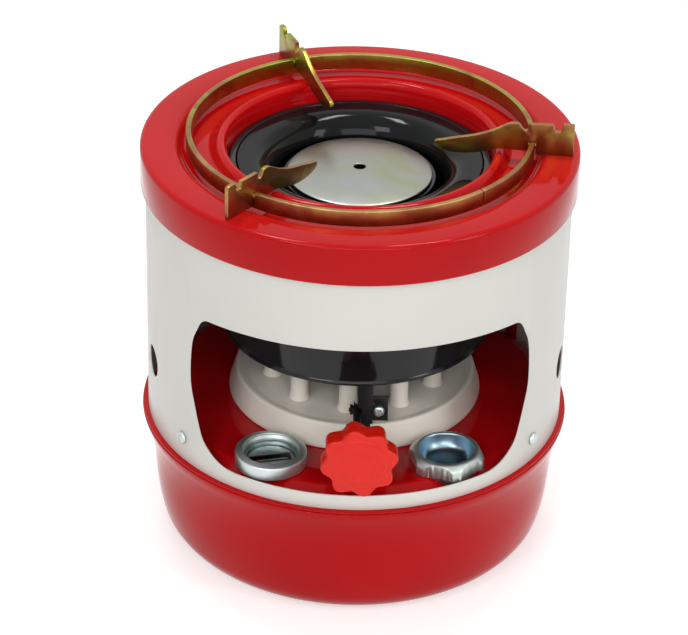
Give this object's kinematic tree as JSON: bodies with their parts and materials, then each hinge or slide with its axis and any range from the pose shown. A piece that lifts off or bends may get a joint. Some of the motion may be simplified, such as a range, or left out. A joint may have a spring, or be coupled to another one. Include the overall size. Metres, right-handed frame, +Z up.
{
  "type": "kerosene stove",
  "caption": "Round wick-fed kerosene stove: fuel tank, open-fronted shell, burner drum, side knob that lifts the wicks, float gauge, filler cap and a loose pot stand.",
  "frame": {"origin": "on the ground under the middle of the fuel tank", "axes": "+Z up along the stove's axis, -Y to the front where the window and the knob are, +X to the right seen from the front"},
  "size_m": [0.2612, 0.2612, 0.2804],
  "materials": {
    "red_enamel": "gloss vitreous enamel",
    "cream_enamel": "gloss vitreous enamel",
    "black_enamel": "gloss heat-proof enamel",
    "zinc_plate": "bright zinc plate",
    "gold_passivate": "yellow passivated zinc plate",
    "knob_plastic": "moulded",
    "wick_cotton": "braided",
    "oil_rubber": "matt",
    "clear_glass": "clear",
    "cork": "lacquered cork"
  },
  "bodies": {
    "base": {"tank_bowl": "red_enamel", "tank_top": "red_enamel", "shell": "cream_enamel", "shell_screw_1": "zinc_plate", "shell_screw_2": "zinc_plate", "shell_screw_3": "zinc_plate", "shell_screw_4": "zinc_plate", "top_plate": "red_enamel", "burner_drum": "black_enamel", "burner_plate": "cream_enamel", "wick_tube_1": "cream_enamel", "wick_tube_2": "cream_enamel", "wick_tube_3": "cream_enamel", "wick_tube_4": "cream_enamel", "wick_tube_5": "cream_enamel", "wick_tube_6": "cream_enamel", "wick_tube_7": "cream_enamel", "wick_tube_8": "cream_enamel", "wick_tube_9": "cream_enamel", "wick_tube_10": "cream_enamel", "wick_gallery": "black_enamel", "filler_neck": "zinc_plate", "gauge_cup": "zinc_plate", "gauge_glass": "clear_glass", "gauge_bezel": "zinc_plate", "gauge_dial": "zinc_plate", "rack_guide": "black_enamel", "guide_screw": "zinc_plate", "shaft_support": "zinc_plate"},
    "wick_set": {"wick_carrier": "zinc_plate", "lift_rack": "zinc_plate", "wick_1": "wick_cotton", "wick_2": "wick_cotton", "wick_3": "wick_cotton", "wick_4": "wick_cotton", "wick_5": "wick_cotton", "wick_6": "wick_cotton", "wick_7": "wick_cotton", "wick_8": "wick_cotton", "wick_9": "wick_cotton", "wick_10": "wick_cotton"},
    "control": {"knob": "knob_plastic", "control_shaft": "zinc_plate", "pinion": "zinc_plate"},
    "filler_gasket": {"filler_gasket": "oil_rubber"},
    "filler_cap": {"filler_cap": "zinc_plate"},
    "gauge_float": {"float_wire": "zinc_plate", "gauge_barrel": "black_enamel", "float": "cork"},
    "burner": {"flame_ring": "black_enamel", "outer_sleeve": "black_enamel", "inner_sleeve": "black_enamel", "flame_spreader": "zinc_plate", "cross_pin_1": "black_enamel", "cross_pin_2": "black_enamel", "cross_pin_3": "black_enamel"},
    "pot_stand": {"stand_ring": "gold_passivate", "stand_arm_1": "gold_passivate", "stand_arm_2": "gold_passivate", "stand_arm_3": "gold_passivate"}
  },
  "joints": [
    {"name": "knob_turn", "type": "hinge", "parent": "base", "child": "control", "pos_m": [-0.001, -0.069, 0.1157], "axis": [0, -1, 0], "range_deg": [-171.8, 171.8]},
    {"name": "wick_lift", "type": "slide", "parent": "base", "child": "wick_set", "axis": [0, 0, 1], "range_m": [-0.012, 0.012]},
    {"name": "filler_cap_lift", "type": "slide", "parent": "base", "child": "filler_gasket", "axis": [0, 0, 1], "range_m": [0, 0.009]},
    {"name": "filler_cap_turn", "type": "hinge", "parent": "filler_gasket", "child": "filler_cap", "pos_m": [0.05212, -0.08884, 0.1], "axis": [0, 0, 1], "range_deg": [0, 1079]},
    {"name": "gauge_swing", "type": "hinge", "parent": "base", "child": "gauge_float", "pos_m": [-0.05181, -0.08902, 0.0835], "axis": [0.9829, 0.1839, 0], "range_deg": [0, 60]},
    {"name": "burner_lift", "type": "slide", "parent": "base", "child": "burner", "axis": [0, 0, 1], "range_m": [0, 0.12]},
    {"name": "pot_stand_lift", "type": "slide", "parent": "burner", "child": "pot_stand", "axis": [0, 0, 1], "range_m": [0, 0.04]}
  ],
  "couplings": [
    {"joint": "wick_lift", "follows": "knob_turn", "m_per_rad": 0.004},
    {"joint": "filler_cap_lift", "follows": "filler_cap_turn", "m_per_rad": 0.00047746}
  ]
}
